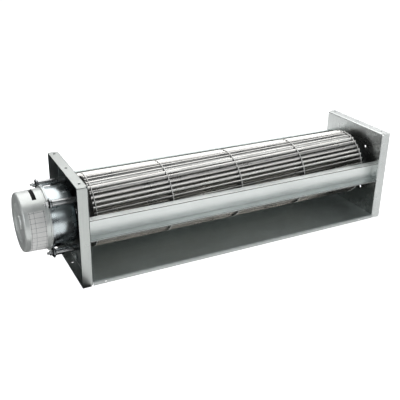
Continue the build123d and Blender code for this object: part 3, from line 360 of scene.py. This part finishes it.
def foil(name):
    """Blank film label on a cylinder along X: satin off-white with a thin border and plain ruled lines, no print."""
    m, nt, bsdf = blank(name)
    src = coords(nt)
    c = noise(nt, src, 45.0, 5.0, 0.6, y=0)
    g = noise(nt, src, 1600.0, 2.0, 0.5, y=200)
    film = blend_colour(nt, span(nt, c, 0.35, 0.7, 0.0, 1.0), (0.82, 0.82, 0.81), (0.92, 0.92, 0.905))
    sep = add(nt, "ShaderNodeSeparateXYZ", -1300, -500)
    wire(nt, src, sep.inputs[0])
    turn = calc(nt, "ARCTAN2", calc(nt, "SUBTRACT", sep.outputs[2], AX[1], x=-1150, y=-550), calc(nt, "SUBTRACT", AX[0], sep.outputs[1], x=-1150, y=-450), x=-1000, y=-500)
    lines = None
    for value, at, half in (
        (sep.outputs[0], LABEL_X[0] + 0.0014, 0.00022),
        (sep.outputs[0], LABEL_X[1] - 0.0014, 0.00022),
        (sep.outputs[0], LABEL_X[0] + 0.0082, 0.00016),
        (turn, math.radians(37.5), 0.0045),
        (turn, math.radians(28.0), 0.0034),
        (turn, math.radians(19.0), 0.0034),
        (turn, math.radians(10.0), 0.0034),
        (turn, math.radians(1.0), 0.0034),
        (turn, math.radians(-9.0), 0.0034),
        (turn, math.radians(-18.0), 0.0034),
        (turn, math.radians(-27.0), 0.0034),
        (turn, math.radians(-37.0), 0.0034),
        (turn, math.radians(-52.5), 0.0045),
    ):
        off = calc(nt, "ABSOLUTE", calc(nt, "SUBTRACT", value, at, x=-850, y=-700), x=-750, y=-700)
        one = span(nt, off, half, half * 1.6, 1.0, 0.0, x=-650, y=-700)
        lines = one if lines is None else calc(nt, "MAXIMUM", lines, one, x=-500, y=-700)
    wire(nt, blend_colour(nt, calc(nt, "MULTIPLY", lines, 0.88), film, (0.20, 0.21, 0.22), x=0), bsdf.inputs["Base Color"])
    wire(nt, span(nt, c, 0.3, 0.7, 0.30, 0.46, x=0, y=-250), bsdf.inputs["Roughness"])
    relief(nt, bsdf, g, 0.00002, 1.0)
    return m


label_xs = [(NODES["rating_label"].matrix_world @ Vector(c)).x for c in NODES["rating_label"].bound_box]
LABEL_X = (min(label_xs), max(label_xs))
# The motor plate's web face is painted near black as shade.
motor_plate_sheet = galvanised("sheet_motor_plate", (0.66, 0.68, 0.665), (0.54, 0.565, 0.55), 0.24, grain="Z", web=-0.23845)
plate_sheet = galvanised("sheet_plates", (0.70, 0.72, 0.715), (0.58, 0.60, 0.595), 0.17, grain="Z", spread=0.05, wave=0.00006)
# The scroll's outside and front lip are painted darker as shade.
scroll_sheet = galvanised("sheet_scroll", (0.80, 0.86, 0.85), (0.67, 0.73, 0.72), 0.38, grain="X", spread=0.07, wave=0.00006, back=(0.01755, 0.063, 0.056, -0.07875), metallic=0.78)
# The channel gets thin dark lines painted along its lip edges as shadow.
channel_sheet = galvanised("sheet_channel", (0.90, 0.93, 0.92), (0.80, 0.83, 0.82), 0.30, grain="X", spread=0.05, wave=0.00003, shade_line_ys=(-0.07475, -0.07795))
# The blades are painted darker towards the axis as shade.
impeller_al = blade_metal("impeller_strip", (0.92, 0.905, 0.88), (0.82, 0.81, 0.79), 0.27)
# The rings and end discs are painted near black inside the rim as shade.
ring_al = drawn_metal("impeller_rings", (0.94, 0.935, 0.92), (0.84, 0.835, 0.82), 0.42, AX, metallic=0.25, ring=0.3, stain=0.1, rim=0.0592)
cap_al = drawn_metal("cap_aluminium", (0.91, 0.935, 0.92), (0.77, 0.795, 0.78), 0.34, AX, metallic=0.50, ring=0.25, stain=0.20)
pot_zinc = drawn_metal("pot_zinc", (0.74, 0.80, 0.82), (0.65, 0.71, 0.73), 0.22, AX, ring=0.10, stain=0.10, bump=0.00001)
plate_zinc = drawn_metal("plate_zinc", (0.70, 0.73, 0.74), (0.50, 0.53, 0.55), 0.27, AX, ring=0.05, stain=0.25)
fastener = drawn_metal("fastener_steel", (0.74, 0.75, 0.75), (0.48, 0.49, 0.50), 0.24, None, speck=1500.0)
ground_steel = drawn_metal("shaft_steel", (0.70, 0.70, 0.71), (0.52, 0.52, 0.53), 0.18, AX, ring=0.4, stain=0.1)
hub_cast = drawn_metal("cast_hub", (0.52, 0.53, 0.54), (0.34, 0.35, 0.36), 0.46, AX, ring=0.1, bump=0.00012)
rubber = moulded("black_rubber", (0.035, 0.035, 0.036), (0.012, 0.012, 0.013), 0.62)
plastic = moulded("black_plastic", (0.014, 0.014, 0.015), (0.007, 0.007, 0.008), 0.50, grain=900.0, spec=0.12)
bronze = drawn_metal("sintered_bronze", (0.62, 0.44, 0.24), (0.36, 0.24, 0.12), 0.48, AX, ring=0.1)
copper = enamelled_wire("winding_copper")
stack = laminated("stack_steel")
label_foil = foil("blank_label")

FINISH = {
    "end_plate_motor": motor_plate_sheet,
    "end_plate_bearing": plate_sheet,
    "scroll_housing": scroll_sheet,
    "tongue_channel": channel_sheet,
    "impeller_blades": impeller_al,
    "impeller_end_disc_motor": ring_al,
    "impeller_ring_1": ring_al,
    "impeller_ring_2": ring_al,
    "impeller_ring_3": ring_al,
    "impeller_end_disc_bearing": ring_al,
    "drive_hub": hub_cast,
    "hub_damper": rubber,
    "hub_bush": ground_steel,
    "grub_screw": fastener,
    "hub_rivets": fastener,
    "stub_hub": hub_cast,
    "stub_shaft": ground_steel,
    "retaining_ring": fastener,
    "bearing_mount_rubber": rubber,
    "bearing_outer_race": ground_steel,
    "bearing_inner_race": ground_steel,
    "bearing_balls": ground_steel,
    "bearing_shields": plate_zinc,
    "motor_end_cap": cap_al,
    "lead_outlet_insert": plastic,
    "rating_label": label_foil,
    "motor_mounting_plate": plate_zinc,
    "motor_pot": pot_zinc,
    "flange_rivets": fastener,
    "motor_bush_rear": bronze,
    "motor_bush_front": bronze,
    "stator_stack": stack,
    "stator_windings": copper,
    "motor_rotor": stack,
    "motor_shaft": ground_steel,
    "stand_offs": fastener,
    "mount_grommets": rubber,
    "mount_washers": fastener,
    "mount_nuts": fastener,
    "mount_screws": fastener,
}
for name, ob in NODES.items():
    finish = FINISH[name]
    if not ob.material_slots:
        ob.data.materials.append(finish)
    for s in ob.material_slots:
        s.material = finish

# ------------------------------------------------------------------ floor
def sheet(name, size, height, tone, glow=0.0):
    """A large paper sheet on the ground, with a fine paper grain."""
    me = bpy.data.meshes.new(name)
    bm = bmesh.new()
    bmesh.ops.create_grid(bm, x_segments=24, y_segments=24, size=size)
    bm.to_mesh(me)
    bm.free()
    ob = bpy.data.objects.new(name, me)
    ob.location.z = height
    bpy.context.scene.collection.objects.link(ob)
    m, nt, bsdf = blank(name + "_paper")
    pn = noise(nt, coords(nt), 350.0, 3.0, 0.6)
    wire(nt, blend_colour(nt, pn, tuple(v * 0.96 for v in tone), tone), bsdf.inputs["Base Color"])
    bsdf.inputs["Roughness"].default_value = 0.85
    bsdf.inputs["Specular IOR Level"].default_value = 0.1
    if glow:
        bsdf.inputs["Emission Color"].default_value = (1.0, 1.0, 1.0, 1.0)
        bsdf.inputs["Emission Strength"].default_value = glow
    relief(nt, bsdf, pn, 0.0001, 0.6)
    me.materials.append(m)
    return ob


floor = sheet("studio_floor", 9.0, CAD_LO.z - 0.0002, (0.50, 0.50, 0.50), glow=0.93)
floor.visible_glossy = False
floor.visible_diffuse = False
bounce = sheet("studio_bounce", 9.0, CAD_LO.z - 0.003, (0.86, 0.86, 0.85), glow=0.60)
bounce.visible_camera = False
bounce.visible_shadow = False


def flag(name, lo, hi):
    """A black studio flag, a thin card that only shows in reflections."""
    me = bpy.data.meshes.new(name)
    bm = bmesh.new()
    bmesh.ops.create_cube(bm, size=1.0)
    for v in bm.verts:
        v.co = Vector([(lo[i] + hi[i]) / 2 + v.co[i] * (hi[i] - lo[i]) for i in range(3)])
    bm.to_mesh(me)
    bm.free()
    ob = bpy.data.objects.new(name, me)
    bpy.context.scene.collection.objects.link(ob)
    m, nt, bsdf = blank(name + "_felt")
    fn = noise(nt, coords(nt), 500.0, 2.0, 0.6)
    wire(nt, blend_colour(nt, fn, (0.006, 0.007, 0.008), (0.014, 0.015, 0.017)), bsdf.inputs["Base Color"])
    bsdf.inputs["Roughness"].default_value = 0.95
    bsdf.inputs["Specular IOR Level"].default_value = 0.0
    me.materials.append(m)
    ob.visible_camera = False
    ob.visible_diffuse = False
    ob.visible_shadow = False
    return ob


flag("flag_left", (-1.80, -0.12, -0.0022), (-0.24, 2.20, -0.0006))

# ------------------------------------------------------------------ light
world = bpy.data.worlds.new("studio_world")
bpy.context.scene.world = world
world.use_nodes = True
wt = world.node_tree
wt.nodes.clear()
wout = add(wt, "ShaderNodeOutputWorld", 900, 0)
wmix = add(wt, "ShaderNodeMixShader", 700, 0)
path = add(wt, "ShaderNodeLightPath", 400, 300)
white = add(wt, "ShaderNodeBackground", 400, -200, Color=(1.0, 1.0, 1.0, 1.0), Strength=1.0)
room = add(wt, "ShaderNodeBackground", 400, 0, Strength=1.0)
wsep = add(wt, "ShaderNodeSeparateXYZ", -400, 0)
wire(wt, add(wt, "ShaderNodeTexCoord", -700, 0).outputs["Generated"], wsep.inputs[0])
rise = span(wt, wsep.outputs[2], -0.05, 0.95, 0.0, 1.0, x=-100, y=0)
wire(wt, blend_colour(wt, rise, (0.10, 0.105, 0.11), (0.075, 0.08, 0.085), x=100), room.inputs["Color"])
wire(wt, path.outputs["Is Camera Ray"], wmix.inputs[0])
wire(wt, room.outputs[0], wmix.inputs[1])
wire(wt, white.outputs[0], wmix.inputs[2])
wire(wt, wmix.outputs[0], wout.inputs[0])


def softbox(name, at, look, size, radiance, colour=(1, 1, 1)):
    """A rectangular softbox; radiance is how bright its face is."""
    d = bpy.data.lights.new(name, "AREA")
    d.shape = "RECTANGLE"
    d.size, d.size_y = size
    d.energy = radiance * math.pi * size[0] * size[1]
    d.color = colour
    o = bpy.data.objects.new(name, d)
    o.location = at
    o.rotation_mode = "QUATERNION"
    o.rotation_quaternion = (Vector(at) - Vector(look)).to_track_quat("Z", "Y")
    bpy.context.scene.collection.objects.link(o)
    return o


softbox("soft_top", (0.50, 0.78, 1.60), (0.50, 0.0, 0.12), (3.4, 2.3), 1.46, (1.0, 0.993, 0.98))
softbox("soft_back", (0.8, 2.5, 0.80), (0.05, 0.0, 0.1), (3.4, 1.75), 0.48)
softbox("soft_front", (1.05, -1.95, 1.28), (0.0, 0.0, 0.08), (2.2, 0.80), 1.15, (0.985, 1.0, 0.995))
softbox("soft_left", (-2.0, -1.2, 1.2), (-0.3, 0.0, 0.1), (1.1, 0.8), 3.3, (0.97, 0.99, 1.0))

bpy.context.scene.view_settings.view_transform = "Standard"
bpy.context.scene.view_settings.look = "None"
bpy.context.scene.view_settings.exposure = 0.10
bpy.context.scene.view_settings.gamma = 0.86
